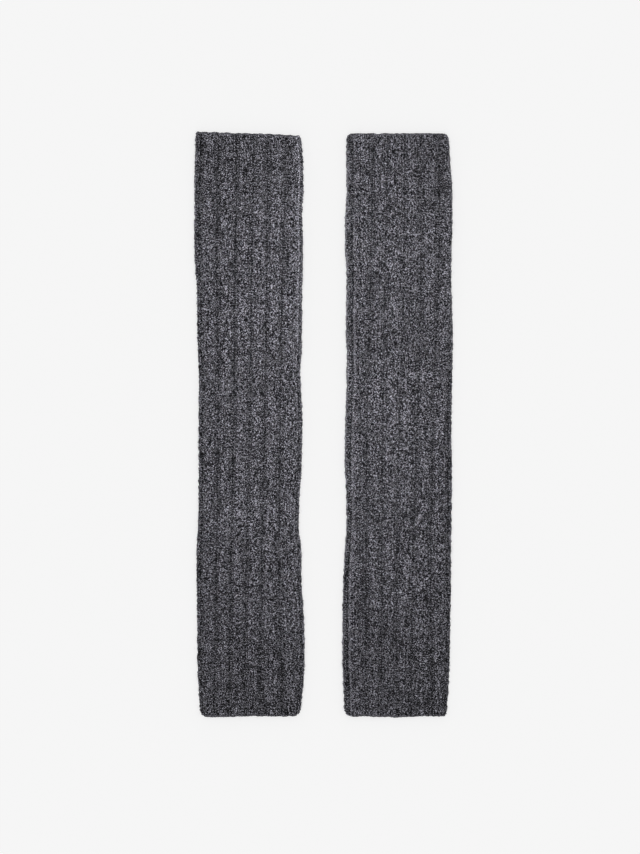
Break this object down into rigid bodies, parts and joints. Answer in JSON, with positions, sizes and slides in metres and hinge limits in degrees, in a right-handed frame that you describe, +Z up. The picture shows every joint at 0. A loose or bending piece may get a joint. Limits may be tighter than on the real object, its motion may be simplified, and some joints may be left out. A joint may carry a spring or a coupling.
{
  "type": "pair of fingerless mittens",
  "caption": "Long straight rib-knit tubes, open at the hand end and the arm end, laid flat side by side as a pair, each closed by a side seam along its inner edge.",
  "frame": {"origin": "under the middle of the pair, on the surface that they lie on", "axes": "+Z up from the surface, +Y along both mittens towards their upper ends, +X from the left mitten to the right one"},
  "size_m": [0.1984, 0.4508, 0.0058],
  "materials": {
    "left_knit": "charcoal melange wool yarn in wide rib knit, matt and slightly fuzzy",
    "right_knit": "charcoal melange wool yarn in wide rib knit with its ribs relaxed, matt and slightly fuzzy"
  },
  "bodies": {
    "root": {"left_mitten_upper_layer": "left_knit", "left_mitten_under_layer": "left_knit", "right_mitten_upper_layer": "right_knit", "right_mitten_under_layer": "right_knit"}
  },
  "joints": []
}
